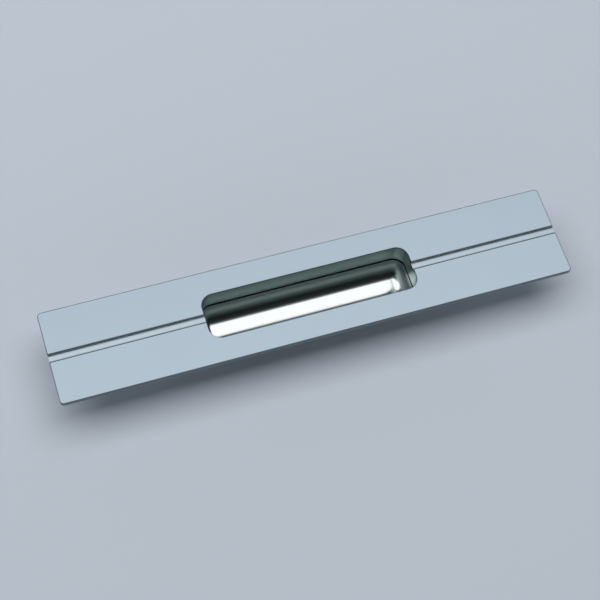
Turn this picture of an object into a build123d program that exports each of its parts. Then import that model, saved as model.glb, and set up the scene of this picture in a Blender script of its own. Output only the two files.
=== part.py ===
from build123d import *
import os

# Recessed pull handle: a grooved face plate with a finger opening, a pan screwed behind it.
# Millimetres. X runs along the handle, Y across it, Z out of the face.
# The origin is under the middle of the pan, on the surface that the handle lies on.

# Face plate
plate_length = 200.0
plate_width = 37.2
plate_thickness = 1.8
plate_corner_radius = 1.6
plate_edge_round = 0.4

# Groove down the whole length of the face
groove_width = 2.8
groove_depth = 1.0
groove_edge_round = 0.25
groove_root_round = 0.2

# Finger opening and the recess behind it
opening_length = 82.0
opening_width = 18.0
opening_corner_radius = 4.8
opening_edge_round = 0.25
recess_depth = 18.4

# Collar that hangs from the plate round the opening, and the seam below it
collar_wall = 1.3
seam_depth = 10.1
seam_gap = 1.0
seam_edge_round = 0.12

# Recess pan, cast with a dished floor over a flat foot
pan_wall = 1.0
pan_dish_radius = 15.0
pan_bend_radius = 4.5
rim_clearance = 0.1
rim_height = 2.5
ear_reach = 10.5
ear_width = 17.0
ear_corner_radius = 3.0

# Screws that hold the pan's ears to the plate's bosses
screw_spacing = 10.4
screw_setback = 5.5
screw_thread_diameter = 2.5
screw_length = 5.6
screw_clearance = 0.03
screw_head_diameter = 4.6
screw_head_height = 1.6
screw_head_round = 0.6
cross_length = 2.6
cross_width = 0.6
cross_depth = 1.0
cross_foot_radius = 0.5
ear_hole_diameter = 2.9
screw_boss_diameter = 5.0
pilot_spare_depth = 0.3

# Tapped bosses that take the screws through the door
door_hole_spacing = 160.0
door_hole_diameter = 3.3
door_hole_depth = 6.8
door_boss_diameter = 8.0
door_boss_length = 8.0
web_thickness = 1.2
web_reach = 7.0
web_height = 5.0

# Levels
face_z = pan_wall + recess_depth
plate_back_z = face_z - plate_thickness
seam_z = face_z - seam_depth
collar_end_z = seam_z + seam_gap / 2
ledge_z = seam_z - seam_gap / 2
rim_top_z = ledge_z + rim_height
ear_underside_z = rim_top_z - pan_wall
door_boss_end_z = plate_back_z - door_boss_length

# Places
rim_offset = collar_wall + rim_clearance
rim_end_x = opening_length / 2 + rim_offset + pan_wall
screw_x = rim_end_x + screw_setback
screw_places = [(side * screw_x, row * screw_spacing / 2) for side in (-1, 1) for row in (-1, 1)]
door_hole_places = [(side * door_hole_spacing / 2, 0) for side in (-1, 1)]


def block(length, width, corner_radius, low, high):
    """A bar with rounded corners between two levels."""
    return Pos(0, 0, low) * extrude(RectangleRounded(length, width, corner_radius), high - low)


def round_opening(offset, low, high):
    """The opening's outline, moved outwards by an offset, between two levels."""
    length = opening_length + 2 * offset
    width = opening_width + 2 * offset
    return block(length, width, opening_corner_radius + offset, low, high)


def post(place, diameter, low, high):
    """An upright cylinder between two levels."""
    x, y = place
    return Pos(x, y, low) * extrude(Circle(diameter / 2), high - low)


def edges_at(shape, level):
    """The edges that lie flat at one level."""
    return shape.edges().filter_by_position(Axis.Z, level, level)


def groove():
    """The groove's cutter: a square channel with a soft root and rounded lips."""
    lip = groove_edge_round
    channel = Rectangle(groove_width, 2 * groove_depth)
    channel = fillet(channel.vertices().group_by(Axis.Y)[0], groove_root_round)
    section = Sketch() + channel
    for side in (-1, 1):
        corner = Pos(side * (groove_width + lip) / 2, -lip / 2) * Rectangle(lip, lip)
        section += corner - Pos(side * (groove_width / 2 + lip), -lip) * Circle(lip)
    across = Plane((0, 0, face_z), x_dir=(0, 1, 0), z_dir=(1, 0, 0))
    return extrude(across * section, plate_length, both=True)


def door_boss(place):
    """A boss for a door screw, with a web to either side along the plate."""
    x, y = place
    boss = post(place, door_boss_diameter, door_boss_end_z, plate_back_z)
    reach = door_boss_diameter / 2 + web_reach
    outline = Polyline((-reach, 0), (reach, 0), (0, -web_height * reach / web_reach), (-reach, 0))
    along = Plane((x, y, plate_back_z), x_dir=(1, 0, 0), z_dir=(0, -1, 0))
    webs = extrude(along * make_face(outline), web_thickness / 2, both=True)
    below_boss = post(place, 2 * reach, door_boss_end_z - web_height, door_boss_end_z)
    return boss + (webs - below_boss)


def make_front_plate():
    flange = block(plate_length, plate_width, plate_corner_radius, plate_back_z, face_z)
    flange = fillet(edges_at(flange, face_z), plate_edge_round)
    collar = round_opening(collar_wall, collar_end_z, plate_back_z)
    plate = flange + collar - round_opening(0, collar_end_z - 1, face_z + 1)
    rim_edges = edges_at(plate, face_z).filter_by(
        lambda edge: abs(edge.center().X) <= opening_length / 2 and abs(edge.center().Y) <= opening_width / 2
    )
    plate = fillet(rim_edges, opening_edge_round)
    lower_edges = edges_at(plate, collar_end_z).filter_by(
        lambda edge: abs(edge.center().X) <= opening_length / 2 and abs(edge.center().Y) <= opening_width / 2
    )
    plate = fillet(lower_edges, seam_edge_round)
    plate -= groove()
    for place in screw_places:
        plate += post(place, screw_boss_diameter, rim_top_z, plate_back_z)
    for place in door_hole_places:
        plate += door_boss(place)
    pilot_top = ear_underside_z + screw_length + pilot_spare_depth
    for place in screw_places:
        plate -= post(place, screw_thread_diameter + 2 * screw_clearance, rim_top_z - 1, pilot_top)
    for place in door_hole_places:
        plate -= post(place, door_hole_diameter, door_boss_end_z - 1, door_boss_end_z + door_hole_depth)
    return plate


def pan_hollow():
    """The space in the pan: the opening's outline with a floor dished across the handle."""
    dish_axis = Plane((0, 0, pan_wall + pan_dish_radius), x_dir=(0, 1, 0), z_dir=(1, 0, 0))
    dish = extrude(dish_axis * Circle(pan_dish_radius), opening_length, both=True)
    hollow = round_opening(0, 0, rim_top_z) & dish
    floor = hollow.faces().sort_by(Axis.Z)[0]
    return fillet(floor.edges(), pan_bend_radius)


def make_recess_pan():
    tray = round_opening(pan_wall, 0, ledge_z)
    tray = fillet(edges_at(tray, 0), pan_bend_radius + pan_wall)
    tray += round_opening(rim_offset + pan_wall, ledge_z - pan_wall, rim_top_z)
    ear_bar_length = 2 * (rim_end_x + ear_reach)
    tray += block(ear_bar_length, ear_width, ear_corner_radius, ear_underside_z, rim_top_z)
    tray -= round_opening(rim_offset, ledge_z, rim_top_z + 1)
    tray -= pan_hollow()
    mouth_edges = edges_at(tray, ledge_z).filter_by(
        lambda edge: abs(edge.center().X) <= opening_length / 2 and abs(edge.center().Y) <= opening_width / 2
    )
    tray = fillet(mouth_edges, seam_edge_round)
    for place in screw_places:
        tray -= post(place, ear_hole_diameter, ear_underside_z - 1, rim_top_z + 1)
    return tray


def make_pan_screw(place):
    """A pan-head screw that points up, with a cross recess in its head."""
    x, y = place
    head_end = ear_underside_z - screw_head_height
    head = post((0, 0), screw_head_diameter, head_end, ear_underside_z)
    head = fillet(edges_at(head, head_end), screw_head_round)
    shank = post((0, 0), screw_thread_diameter, ear_underside_z, ear_underside_z + screw_length)
    cross = Rectangle(cross_length, cross_width) + Rectangle(cross_width, cross_length)
    cross = Pos(0, 0, head_end) * extrude(cross, cross_depth)
    taper = Cone(cross_length / 2, cross_foot_radius, cross_depth)
    cross &= Pos(0, 0, head_end + cross_depth / 2) * taper
    return Pos(x, y, 0) * (head + shank - cross)


os.makedirs("parts", exist_ok=True)
export_step(make_front_plate(), "parts/front_plate.step")
export_step(make_recess_pan(), "parts/recess_pan.step")
for number, place in enumerate(screw_places, start=1):
    export_step(make_pan_screw(place), f"parts/pan_screw_{number}.step")
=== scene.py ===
import math

import bpy
from mathutils import Matrix, Vector


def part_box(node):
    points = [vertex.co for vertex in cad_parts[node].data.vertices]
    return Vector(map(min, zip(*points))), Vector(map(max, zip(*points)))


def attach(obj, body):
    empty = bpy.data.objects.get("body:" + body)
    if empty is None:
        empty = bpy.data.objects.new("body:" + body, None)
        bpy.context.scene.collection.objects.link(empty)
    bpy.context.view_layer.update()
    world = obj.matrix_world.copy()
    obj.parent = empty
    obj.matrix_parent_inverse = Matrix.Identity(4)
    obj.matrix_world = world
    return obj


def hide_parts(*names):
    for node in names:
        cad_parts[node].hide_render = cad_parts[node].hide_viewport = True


# Recessed pull handle, face up on a pale floor. Metres; sizes in the dictionaries are millimetres.
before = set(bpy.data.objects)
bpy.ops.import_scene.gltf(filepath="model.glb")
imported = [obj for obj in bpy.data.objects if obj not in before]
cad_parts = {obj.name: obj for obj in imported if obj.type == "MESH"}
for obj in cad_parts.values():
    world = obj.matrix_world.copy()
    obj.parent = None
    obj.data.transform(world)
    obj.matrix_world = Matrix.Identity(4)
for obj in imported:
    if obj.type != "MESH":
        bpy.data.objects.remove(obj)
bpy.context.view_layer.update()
mm = 0.001
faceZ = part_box("front_plate")[1].z   # the satin face
print("frame loaded, face at", round(faceZ / mm, 2), "mm")


def hexColour(text):
    # sRGB hex to linear, the one place where colours are turned
    parts = [int(text[i:i + 2], 16) / 255 for i in (1, 3, 5)]
    return tuple(c / 12.92 if c <= 0.04045 else ((c + 0.055) / 1.055) ** 2.4 for c in parts) + (1.0,)


def addNode(tree, kind, settings=None, links=None):
    # settings: attributes, or sockets by name or number; links: socket to an output
    node = tree.nodes.new(kind)
    for key, value in (settings or {}).items():
        if isinstance(key, str) and hasattr(node, key) and key not in node.inputs:
            setattr(node, key, value)
        else:
            node.inputs[key].default_value = value
    for key, source in (links or {}).items():
        tree.links.new(source, node.inputs[key])
    return node


def calculate(tree, operation, *values):
    # a maths node whose inputs are numbers or outputs
    settings, links = {"operation": operation}, {}
    for socket, value in enumerate(values):
        (settings if isinstance(value, (int, float)) else links)[socket] = value
    return addNode(tree, "ShaderNodeMath", settings, links).outputs[0]


def newMaterial(name):
    material = bpy.data.materials.new(name)
    material.use_nodes = True
    tree = material.node_tree
    tree.nodes.clear()
    shader = addNode(tree, "ShaderNodeBsdfPrincipled")
    addNode(tree, "ShaderNodeOutputMaterial", links={"Surface": shader.outputs["BSDF"]})
    place = addNode(tree, "ShaderNodeTexCoord").outputs["Object"]
    return material, tree, shader, place


def ramp(tree, value, low, high):
    # 0 below low, 1 above high, soft between
    settings = {"interpolation_type": "SMOOTHSTEP", "From Min": low, "From Max": high}
    return addNode(tree, "ShaderNodeMapRange", settings, {"Value": value}).outputs["Result"]


def mixValue(tree, factor, a, b):
    # a where the factor is 0, b where it is 1; a and b are numbers or outputs
    settings, links = {}, {"Value": factor}
    for socket, value in (("To Min", a), ("To Max", b)):
        (settings if isinstance(value, (int, float)) else links)[socket] = value
    return addNode(tree, "ShaderNodeMapRange", settings, links).outputs["Result"]


def mixColour(tree, factor, a, b):
    # the same for colours
    settings, links = {"data_type": "RGBA"}, {0: factor}
    for socket, value in ((6, a), (7, b)):
        (settings if isinstance(value, tuple) else links)[socket] = value
    return addNode(tree, "ShaderNodeMix", settings, links).outputs[2]


def within(tree, axes, half):
    # 1 inside a box round the origin, 0 outside it. Its corners are square, so the masks for the recess
    # also cover the outside of its round corners and of the pan's bent foot: a known fault, not mended
    inside = []
    for axis, reach in zip("XY", half):
        distance = calculate(tree, "ABSOLUTE", axes[axis])
        inside.append(calculate(tree, "LESS_THAN", distance, reach * mm))
    return calculate(tree, "MULTIPLY", inside[0], inside[1])


def bumpNormal(tree, height, depth, strength, normal=None):
    # a surface raised by a height from 0 to 1, to a depth in millimetres
    links = {"Height": height}
    if normal is not None:
        links["Normal"] = normal
    settings = {"Strength": strength, "Distance": depth * mm}
    return addNode(tree, "ShaderNodeBump", settings, links).outputs["Normal"]


def underFace(depth):
    # the height of a depth under the face
    return faceZ - depth * mm


# Face plate: zinc alloy, die cast, finely brushed along its length and satin chrome plated.
# Gives a soft, cool grey sheen with no mirror image; the brush marks run over the opening's walls too.
# The tones of the edge, groove, lip, seam and walls go by place and were tuned to the photograph. They
# aren't different finishes: the dark edges, lip lines and seam are painted shade, the groove's tones are
# painted highlight and shade, and the walls' gradient is painted light.
platePlating = {
    "faceColour": "#9caab6",
    "cloudColour": "#99a6b1",
    # painted shade: a dark line on every rounded edge of the plate and on the rim of the opening
    "edgeShadeColour": "#70797f",
    # painted highlight and shade across the groove: a pale middle, darker sides and pale side walls
    "grooveHighlightColour": "#c2cfd8",
    "grooveSideShadeColour": "#87959c",
    "grooveWallHighlightColour": "#eaf2f6",
    # painted shade: a dark line on the face along each side of the groove
    "paintedLipTone": "#545c63",
    # painted shade: near black on the last stretch of the collar above the seam
    "seamShadeColour": "#1e2222",
    # painted light: the opening's wall is paler towards its foot, to even out its shading
    "paintedWallTopColour": "#aebfbe",
    "paintedWallFootColour": "#dfefee",
    "backColour": "#b9c0c4",
    "faceRoughness": 0.28,
    "wallRoughness": 0.40,
    "backRoughness": 0.45,
    "grooveRoughness": 0.48,
    "grain": 0.30,           # brush grain, coarser than the real 0.05 mm so that it shows
    "grainLength": 9.0,      # each brush mark runs this far along the plate
    "grainDepth": 0.0012,
    "grainStrength": 0.5,
    "blotch": 14.0,          # faint cloudiness of the plating
    "openingHalf": (41.02, 9.02),    # half length and half width of each mask
    "grooveHalf": (200.0, 1.41),
    "lipHalf": (200.0, 1.85),
    "bore": (80.0, 1.75),    # tapped holes: distance from the middle, radius
    "pitch": 0.7,            # of their M4 thread
    "threadDepth": 0.12,
    "cast": 0.8,             # casting skin on the back
    "castDepth": 0.02,
    "castStrength": 0.6,
    "thickness": 1.8,        # this and the next six are depths under the face
    "backFade": 1.71,        # the back's finish gives way to the edge's from the thickness to here
    "faceFade": (0.14, 0.03),
    "rimFade": (0.9, 0.5),
    "grooveFloorFade": (0.75, 0.9),
    "collarEnd": 9.6,
    "seamFade": (9.3, 9.0),
    "grooveShade": (0.5, 1.3),   # distances from the groove's middle, where its floor turns darker
}


def boreThread(tree, axes, offCentre):
    # height of a screw thread inside the two tapped holes, 0 elsewhere
    s = platePlating
    distance, radius = s["bore"]
    along = calculate(tree, "SUBTRACT", calculate(tree, "ABSOLUTE", axes["X"]), distance * mm)
    arm = addNode(tree, "ShaderNodeCombineXYZ", links={0: along, 1: offCentre}).outputs[0]
    away = addNode(tree, "ShaderNodeVectorMath", {"operation": "LENGTH"}, {0: arm}).outputs["Value"]
    inBore = calculate(tree, "LESS_THAN", away, radius * mm)
    turn = calculate(tree, "ARCTAN2", axes["Y"], along)
    climb = calculate(tree, "MULTIPLY", axes["Z"], 2 * math.pi / (s["pitch"] * mm))
    ridge = calculate(tree, "SINE", calculate(tree, "ADD", climb, turn))
    behindPlate = calculate(tree, "LESS_THAN", axes["Z"], underFace(s["thickness"]))
    return calculate(tree, "MULTIPLY", calculate(tree, "MULTIPLY", ridge, behindPlate), inBore)


def satinChrome():
    s = platePlating
    material, tree, shader, place = newMaterial("satinChromeOnZincCasting")
    axes = addNode(tree, "ShaderNodeSeparateXYZ", links={0: place}).outputs
    isTop = ramp(tree, axes["Z"], *map(underFace, s["faceFade"]))
    isEdge = ramp(tree, axes["Z"], underFace(s["thickness"]), underFace(s["backFade"]))
    isRim = ramp(tree, axes["Z"], *map(underFace, s["rimFade"]))
    inGroove = within(tree, axes, s["grooveHalf"])
    high, low = map(underFace, s["grooveFloorFade"])
    grooveFloor = addNode(tree, "ShaderNodeMapRange", {"From Min": high, "From Max": low},
                          {"Value": axes["Z"]}).outputs["Result"]
    grooveFloor = calculate(tree, "MULTIPLY", isEdge, calculate(tree, "MULTIPLY", inGroove, grooveFloor))
    isWall = within(tree, axes, s["openingHalf"])
    # painted light: a gradient up the wall, paler at its foot
    upWall = ramp(tree, axes["Z"], underFace(s["collarEnd"]), faceZ)
    paintedWallTone = mixColour(tree, upWall, hexColour(s["paintedWallFootColour"]), hexColour(s["paintedWallTopColour"]))
    # painted shade: a dark band on the rim of the opening
    paintedWallTone = mixColour(tree, isRim, paintedWallTone, hexColour(s["edgeShadeColour"]))
    # painted shade: the collar turns near black just above the seam
    overSeam = ramp(tree, axes["Z"], *map(underFace, s["seamFade"]))
    paintedWallTone = mixColour(tree, overSeam, hexColour(s["seamShadeColour"]), paintedWallTone)
    # painted shade on the plate's rounded edges, painted highlight on the groove's side walls
    paintedLipTone = mixColour(tree, inGroove, hexColour(s["edgeShadeColour"]), hexColour(s["grooveWallHighlightColour"]))
    sideColour = mixColour(tree, isEdge, hexColour(s["backColour"]), paintedLipTone)
    offCentre = calculate(tree, "ABSOLUTE", axes["Y"])
    # painted highlight in the groove's middle, painted shade towards its sides
    atSide = ramp(tree, offCentre, *(distance * mm for distance in s["grooveShade"]))
    paintedGrooveTone = mixColour(tree, atSide, hexColour(s["grooveHighlightColour"]), hexColour(s["grooveSideShadeColour"]))
    sideColour = mixColour(tree, grooveFloor, sideColour, paintedGrooveTone)
    lowColour = mixColour(tree, isWall, sideColour, paintedWallTone)
    cloud = addNode(tree, "ShaderNodeTexNoise", {"Scale": 1 / (s["blotch"] * mm), "Detail": 2.0},
                    {"Vector": place})
    faceTone = mixColour(tree, cloud.outputs["Fac"], hexColour(s["cloudColour"]), hexColour(s["faceColour"]))
    # painted shade: dark lines on the face beside the groove
    faceTone = mixColour(tree, within(tree, axes, s["lipHalf"]), faceTone, hexColour(s["paintedLipTone"]))
    colour = mixColour(tree, isTop, lowColour, faceTone)
    sideRough = mixValue(tree, isEdge, s["backRoughness"], s["faceRoughness"])
    sideRough = mixValue(tree, inGroove, sideRough, s["grooveRoughness"])
    lowRough = mixValue(tree, isWall, sideRough, s["wallRoughness"])
    rough = mixValue(tree, isTop, lowRough, s["faceRoughness"])
    squeeze = (s["grain"] / s["grainLength"], 1, 1)
    stretch = addNode(tree, "ShaderNodeVectorMath", {"operation": "MULTIPLY", 1: squeeze}, {0: place})
    grain = addNode(tree, "ShaderNodeTexNoise", {"Scale": 1 / (s["grain"] * mm), "Detail": 3.0},
                    {"Vector": stretch.outputs[0]})
    brushed = bumpNormal(tree, grain.outputs["Fac"], s["grainDepth"], s["grainStrength"])
    skin = addNode(tree, "ShaderNodeTexNoise", {"Scale": 1 / (s["cast"] * mm), "Detail": 3.0},
                   {"Vector": place})
    onBack = mixValue(tree, isWall, calculate(tree, "SUBTRACT", 1.0, isEdge), 0.0)
    cast = calculate(tree, "MULTIPLY", skin.outputs["Fac"], onBack)
    castSkin = bumpNormal(tree, cast, s["castDepth"], s["castStrength"], brushed)
    normal = bumpNormal(tree, boreThread(tree, axes, offCentre), s["threadDepth"], 1.0, castSkin)
    shader.inputs["Metallic"].default_value = 1.0
    tree.links.new(colour, shader.inputs["Base Color"])
    tree.links.new(rough, shader.inputs["Roughness"])
    tree.links.new(normal, shader.inputs["Normal"])
    return material


# Recess pan: zinc alloy, die cast and chrome plated. The floor is polished to a mirror, and the wall
# above it is satin; the end bends are satin too. The dark of the long bends, the paler colour of the end
# bends, the wall's two tones and the near-black ledge are set by place to match the photograph: they are
# painted shade, painted highlight and painted light, not finishes.
panPlating = {
    "floorColour": "#d3d6d7",
    # painted shade: the long bends above the mirror floor are dark
    "bendShadeColour": "#4c5555",
    # painted light: the pan's wall is paler towards its top, to even out its shading
    "paintedWallTopColour": "#f0f6f5",
    "paintedWallFootColour": "#bfcecb",
    # painted shade: the ledge under the seam is near black
    "ledgeShadeColour": "#1e2222",
    "outsideColour": "#c9cdcf",
    # painted highlight: the end bends are paler than the long ones
    "endHighlightColour": "#ebf6f4",
    "floorRoughness": 0.12,
    "bendRoughness": 0.30,
    "wallRoughness": 0.40,
    "endRoughness": 0.30,
    "outsideRoughness": 0.42,
    "hollowFoot": 0.9,       # this and the next five are heights on the handle's own Z
    "polishTop": 1.5,
    "bendLow": 1.9,
    "bendHigh": 2.3,
    "wallLow": 4.5,
    "wallHigh": 7.4,
    "endStart": 38.0,        # distances from the middle, where the satin of the end bends starts
    "endFull": 39.6,         # and is full
    "ledgeFade": (8.65, 8.8),    # heights again
    "hollowHalf": (41.1, 9.1),   # masks, as on the plate
    "rimHalf": (42.45, 10.45),
}


def polishedPan():
    s = panPlating
    material, tree, shader, place = newMaterial("brightChromeOnZincCasting")
    axes = addNode(tree, "ShaderNodeSeparateXYZ", links={0: place}).outputs
    overFoot = calculate(tree, "GREATER_THAN", axes["Z"], s["hollowFoot"] * mm)
    isInside = calculate(tree, "MULTIPLY", within(tree, axes, s["hollowHalf"]), overFoot)
    overPolish = ramp(tree, axes["Z"], s["polishTop"] * mm, s["bendLow"] * mm)
    overBend = ramp(tree, axes["Z"], s["bendHigh"] * mm, s["wallLow"] * mm)
    # painted shade: the bends above the polished floor turn dark
    lowColour = mixColour(tree, overPolish, hexColour(s["floorColour"]), hexColour(s["bendShadeColour"]))
    lowRough = mixValue(tree, overPolish, s["floorRoughness"], s["bendRoughness"])
    # painted light: a gradient up the pan's wall, paler at its top
    upWall = ramp(tree, axes["Z"], s["wallLow"] * mm, s["wallHigh"] * mm)
    paintedWallTone = mixColour(tree, upWall, hexColour(s["paintedWallFootColour"]), hexColour(s["paintedWallTopColour"]))
    # painted highlight: the end bends turn paler; their lower roughness is their satin finish
    along = calculate(tree, "ABSOLUTE", axes["X"])
    atEnd = ramp(tree, along, s["endStart"] * mm, s["endFull"] * mm)
    lowColour = mixColour(tree, atEnd, lowColour, hexColour(s["endHighlightColour"]))
    lowRough = mixValue(tree, atEnd, lowRough, s["endRoughness"])
    insideColour = mixColour(tree, overBend, lowColour, paintedWallTone)
    insideRough = mixValue(tree, overBend, lowRough, s["wallRoughness"])
    colour = mixColour(tree, isInside, hexColour(s["outsideColour"]), insideColour)
    # painted shade: near black on the ledge under the collar
    byLedge = ramp(tree, axes["Z"], *(height * mm for height in s["ledgeFade"]))
    onLedge = calculate(tree, "MULTIPLY", within(tree, axes, s["rimHalf"]), byLedge)
    colour = mixColour(tree, onLedge, colour, hexColour(s["ledgeShadeColour"]))
    rough = mixValue(tree, isInside, s["outsideRoughness"], insideRough)
    shader.inputs["Metallic"].default_value = 1.0
    tree.links.new(colour, shader.inputs["Base Color"])
    tree.links.new(rough, shader.inputs["Roughness"])
    return material


# Pan screws: steel, zinc plated, a cool white metal with a slight blue
screwPlating = {"colour": "#c4c8cc", "roughness": 0.3}


def zincPlate():
    material, _, shader, _ = newMaterial("zincPlatedSteel")
    shader.inputs["Metallic"].default_value = 1.0
    shader.inputs["Base Color"].default_value = hexColour(screwPlating["colour"])
    shader.inputs["Roughness"].default_value = screwPlating["roughness"]
    return material


# One pan-head screw, head down, with a rolled thread and a cross recess
screwSizes = {
    "headDiameter": 4.6,
    "headHeight": 1.6,
    "shankDiameter": 2.5,
    "length": 5.6,
    "pitch": 0.45,
    "threadDepth": 0.24,
    "crossLength": 2.6,
    "crossWidth": 0.6,
    "crossDepth": 1.0,
}
screwForm = {
    "headSides": 48,
    "headRings": 16,
    "shankSides": 32,
    "shankRings": 96,
    "domeReach": 0.93,       # how far the dome draws the head in, and how suddenly
    "domePower": 5.0,
    "tipStart": 0.36,        # along the shank from its middle, as a share of its length
    "tipDraw": 0.25,
    "crease": 35,            # degrees; sharper edges stay sharp
}


def scaledRound(tree, mesh, factor):
    # draws a mesh in towards the Z axis by a factor at each point
    position = addNode(tree, "GeometryNodeInputPosition").outputs[0]
    scale = addNode(tree, "ShaderNodeCombineXYZ", {2: 1.0}, {0: factor, 1: factor}).outputs[0]
    moved = addNode(tree, "ShaderNodeVectorMath", {"operation": "MULTIPLY"}, {0: position, 1: scale})
    links = {"Geometry": mesh, "Position": moved.outputs[0]}
    return addNode(tree, "GeometryNodeSetPosition", links=links).outputs[0]


def shifted(tree, mesh, height):
    offset = addNode(tree, "ShaderNodeCombineXYZ", links={2: height}).outputs[0]
    return addNode(tree, "GeometryNodeTransform", links={"Geometry": mesh, "Translation": offset}).outputs[0]


def screwTree(material):
    s = screwForm
    tree = bpy.data.node_groups.new("crossRecessScrew", "GeometryNodeTree")
    for name, size in screwSizes.items():
        socket = tree.interface.new_socket(name, in_out="INPUT", socket_type="NodeSocketFloat")
        socket.default_value = size * mm
    tree.interface.new_socket("seat", in_out="INPUT", socket_type="NodeSocketVector")
    tree.interface.new_socket("Geometry", in_out="OUTPUT", socket_type="NodeSocketGeometry")
    given = addNode(tree, "NodeGroupInput").outputs
    position = addNode(tree, "GeometryNodeInputPosition").outputs[0]
    axes = addNode(tree, "ShaderNodeSeparateXYZ", links={0: position}).outputs
    # the head: a drum whose edge is rounded towards its outer end
    headRadius = calculate(tree, "MULTIPLY", given["headDiameter"], 0.5)
    drumSides = {"Vertices": s["headSides"], "Side Segments": s["headRings"]}
    drum = addNode(tree, "GeometryNodeMeshCylinder", drumSides,
                   {"Radius": headRadius, "Depth": given["headHeight"]}).outputs["Mesh"]
    outward = calculate(tree, "SUBTRACT", 0.5, calculate(tree, "DIVIDE", axes["Z"], given["headHeight"]))
    outward = calculate(tree, "POWER", calculate(tree, "MULTIPLY", outward, s["domeReach"]), s["domePower"])
    head = scaledRound(tree, drum, calculate(tree, "SQRT", calculate(tree, "SUBTRACT", 1.0, outward)))
    head = shifted(tree, head, calculate(tree, "MULTIPLY", given["headHeight"], -0.5))
    # the cross recess: two crossed bars cut from the outer end
    bars = []
    for first, second in (("crossLength", "crossWidth"), ("crossWidth", "crossLength")):
        depth = calculate(tree, "MULTIPLY", given["crossDepth"], 2.0)
        size = addNode(tree, "ShaderNodeCombineXYZ", links={0: given[first], 1: given[second], 2: depth})
        bar = addNode(tree, "GeometryNodeMeshCube", links={"Size": size.outputs[0]}).outputs["Mesh"]
        bars.append(shifted(tree, bar, calculate(tree, "MULTIPLY", given["headHeight"], -1.0)))
    cut = addNode(tree, "GeometryNodeMeshBoolean", {"operation": "DIFFERENCE", "solver": "EXACT"},
                  {"Mesh 1": head})
    for bar in bars:
        tree.links.new(bar, cut.inputs["Mesh 2"])
    # the shank: a helical thread, drawn in over the last stretch to the tip
    shankRadius = calculate(tree, "MULTIPLY", given["shankDiameter"], 0.5)
    rodSides = {"Vertices": s["shankSides"], "Side Segments": s["shankRings"]}
    rod = addNode(tree, "GeometryNodeMeshCylinder", rodSides,
                  {"Radius": shankRadius, "Depth": given["length"]}).outputs["Mesh"]
    turn = calculate(tree, "DIVIDE", calculate(tree, "ARCTAN2", axes["Y"], axes["X"]), 2 * math.pi)
    climb = calculate(tree, "DIVIDE", axes["Z"], given["pitch"])
    ridge = calculate(tree, "PINGPONG", calculate(tree, "SUBTRACT", climb, turn), 0.5)
    share = calculate(tree, "DIVIDE", given["threadDepth"], shankRadius)
    dip = calculate(tree, "MULTIPLY", calculate(tree, "MULTIPLY", ridge, 2.0), share)
    alongShank = calculate(tree, "DIVIDE", axes["Z"], given["length"])
    tipRange = {"From Min": s["tipStart"], "From Max": 0.5, "To Min": 0.0, "To Max": s["tipDraw"]}
    tip = addNode(tree, "ShaderNodeMapRange", tipRange, {"Value": alongShank}).outputs["Result"]
    factor = calculate(tree, "SUBTRACT", calculate(tree, "SUBTRACT", 1.0, dip), tip)
    shank = shifted(tree, scaledRound(tree, rod, factor), calculate(tree, "MULTIPLY", given["length"], 0.5))
    join = addNode(tree, "GeometryNodeJoinGeometry")
    for part in (cut.outputs["Mesh"], shank):
        tree.links.new(part, join.inputs[0])
    placed = addNode(tree, "GeometryNodeTransform",
                     links={"Geometry": join.outputs[0], "Translation": given["seat"]})
    real = addNode(tree, "GeometryNodeRealizeInstances", links={0: placed.outputs[0]})
    painted = addNode(tree, "GeometryNodeSetMaterial", {"Material": material}, {"Geometry": real.outputs[0]})
    addNode(tree, "NodeGroupOutput", links={"Geometry": painted.outputs[0]})
    return tree


def makeScrew(node, tree):
    low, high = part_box(node)
    seat = ((low.x + high.x) / 2, (low.y + high.y) / 2, low.z + screwSizes["headHeight"] * mm)
    blank = bpy.data.objects.new(node + "_form", bpy.data.meshes.new(node + "_form"))
    bpy.context.scene.collection.objects.link(blank)
    modifier = blank.modifiers.new("screw", "NODES")
    modifier.node_group = tree
    sockets = {item.name: item.identifier for item in tree.interface.items_tree if item.in_out == "INPUT"}
    modifier[sockets["seat"]] = seat
    for name, size in screwSizes.items():
        modifier[sockets[name]] = size * mm
    bpy.context.view_layer.update()
    mesh = bpy.data.meshes.new_from_object(blank.evaluated_get(bpy.context.evaluated_depsgraph_get()))
    bpy.data.objects.remove(blank)
    mesh.polygons.foreach_set("use_smooth", [True] * len(mesh.polygons))
    mesh.set_sharp_from_angle(angle=math.radians(screwForm["crease"]))
    screw = bpy.data.objects.new(node.replace("pan_screw_", "panScrew"), mesh)
    bpy.context.scene.collection.objects.link(screw)
    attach(screw, "root")
    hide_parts(node)
    return screw


# The plate and the pan keep the CAD's own meshes
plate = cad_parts["front_plate"]
plate.material_slots[0].material = satinChrome()
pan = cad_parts["recess_pan"]
pan.material_slots[0].material = polishedPan()
panScrewTree = screwTree(zincPlate())
for name in sorted(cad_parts):
    if name.startswith("pan_screw"):
        screw = makeScrew(name, panScrewTree)
        print(name, "made with", len(screw.data.polygons), "faces")
print("materials assigned")


# Stage: a plain pale floor
floorLook = {"size": 6.0, "colour": "#c7ced9", "roughness": 0.95, "gloss": 0.1}


def layFloor():
    s = floorLook
    half = s["size"] / 2
    mesh = bpy.data.meshes.new("floor")
    corners = [(-half, -half, 0), (half, -half, 0), (half, half, 0), (-half, half, 0)]
    mesh.from_pydata(corners, [], [(0, 1, 2, 3)])
    floor = bpy.data.objects.new("floor", mesh)
    bpy.context.scene.collection.objects.link(floor)
    material, _, shader, _ = newMaterial("paleBackdropPaper")
    shader.inputs["Base Color"].default_value = hexColour(s["colour"])
    shader.inputs["Roughness"].default_value = s["roughness"]
    shader.inputs["Specular IOR Level"].default_value = s["gloss"]
    mesh.materials.append(material)


layFloor()


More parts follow.
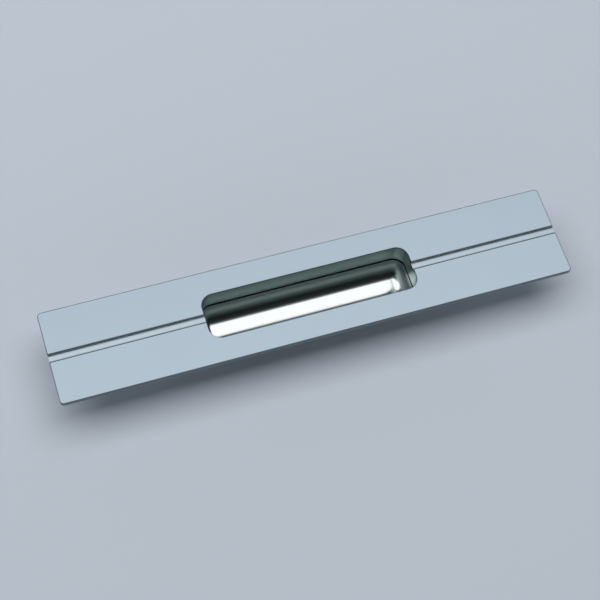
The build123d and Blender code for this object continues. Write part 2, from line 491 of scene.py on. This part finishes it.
# Light: one large soft lamp overhead, from behind and to the left, in a dim room with a pale horizon.
# It is split in two, as no real lamp is: the first lights only what is matt, and its weaker twin is all
# that gloss shows. This brings the metals' written colours nearer to the rendered ones.
softbox = {
    "centre": (-0.26, 0.43),
    "aim": (-0.26, 0.43),    # straight down
    "rise": 1.6,
    "size": (3.10, 1.44),
    "radiance": 2.35,
    "shine": 1.45,           # radiance of its twin, which only the metals show
    "shineDrop": 0.02,       # the twin hangs this far below it
    "colour": "#ffffff",
}
# A very weak low fill from the near side, for the shadow under the near edge; no metal shows it
fill = {
    "centre": (0.0, -1.2),
    "aim": (0.0, 0.0),
    "rise": 0.35,
    "size": (1.6, 0.5),
    "radiance": 0.12,
    "colour": "#ffffff",
}
roomLight = {
    "near": "#282e2e",
    "far": "#4a5050",
    "horizon": "#c4c9cc",
    "sideFade": (-0.5, 0.6),       # from the near tone to the far one, on the direction's Y
    "horizonFade": (0.25, 0.62),   # from the horizon to the tones overhead, on its Z
}


def hangLamp(name, s):
    lamp = bpy.data.lights.new(name, "AREA")
    lamp.shape = "RECTANGLE"
    lamp.size, lamp.size_y = s["size"]
    lamp.energy = s["radiance"] * math.pi * s["size"][0] * s["size"][1]
    lamp.color = hexColour(s["colour"])[:3]
    holder = bpy.data.objects.new(name, lamp)
    place = Vector((*s["centre"], faceZ + s["rise"]))
    aim = Vector((*s["aim"], faceZ))
    turn = (aim - place).to_track_quat("-Z", "Y").to_matrix()
    holder.matrix_world = Matrix.Translation(place) @ turn.to_4x4()
    bpy.context.scene.collection.objects.link(holder)
    return holder


def lightRoom():
    s = roomLight
    world = bpy.data.worlds.new("dimRoom")
    world.use_nodes = True
    bpy.context.scene.world = world
    tree = world.node_tree
    tree.nodes.clear()
    direction = addNode(tree, "ShaderNodeTexCoord").outputs["Generated"]
    axes = addNode(tree, "ShaderNodeSeparateXYZ", links={0: direction}).outputs
    side = ramp(tree, axes["Y"], *s["sideFade"])
    overhead = mixColour(tree, side, hexColour(s["near"]), hexColour(s["far"]))
    raised = ramp(tree, axes["Z"], *s["horizonFade"])
    colour = mixColour(tree, raised, hexColour(s["horizon"]), overhead)
    back = addNode(tree, "ShaderNodeBackground", {"Strength": 1.0}, {"Color": colour})
    addNode(tree, "ShaderNodeOutputWorld", links={"Surface": back.outputs[0]})


hangLamp("overheadSoftbox", softbox).visible_glossy = False
twin = {**softbox, "radiance": softbox["shine"], "rise": softbox["rise"] - softbox["shineDrop"]}
hangLamp("softboxShine", twin).visible_diffuse = False
hangLamp("nearFill", fill).visible_glossy = False
lightRoom()


# Camera: above the near left, at the photograph's angle; heights are taken from the face
cameraSettings = {
    "place": (-0.11256, -0.21062, 0.48881),
    "aim": (-0.00488, -0.00231, 0.0),
    "roll": 10.565,
    "lens": 87.0,
    "sensor": 36.0,
    "clip": 0.01,
}


def setCamera():
    s = cameraSettings
    lens = bpy.data.cameras.new("camera")
    lens.lens = s["lens"]
    lens.sensor_width = s["sensor"]
    lens.clip_start = s["clip"]
    camera = bpy.data.objects.new("camera", lens)
    place = Vector(s["place"]) + Vector((0, 0, faceZ))
    look = (Vector(s["aim"]) - Vector(s["place"])).to_track_quat("-Z", "Y").to_matrix()
    turn = look @ Matrix.Rotation(math.radians(s["roll"]), 3, "Z")
    camera.matrix_world = Matrix.Translation(place) @ turn.to_4x4()
    bpy.context.scene.collection.objects.link(camera)
    bpy.context.scene.camera = camera


setCamera()
bpy.context.scene.view_settings.view_transform = "Standard"
print("stage, light and camera set")
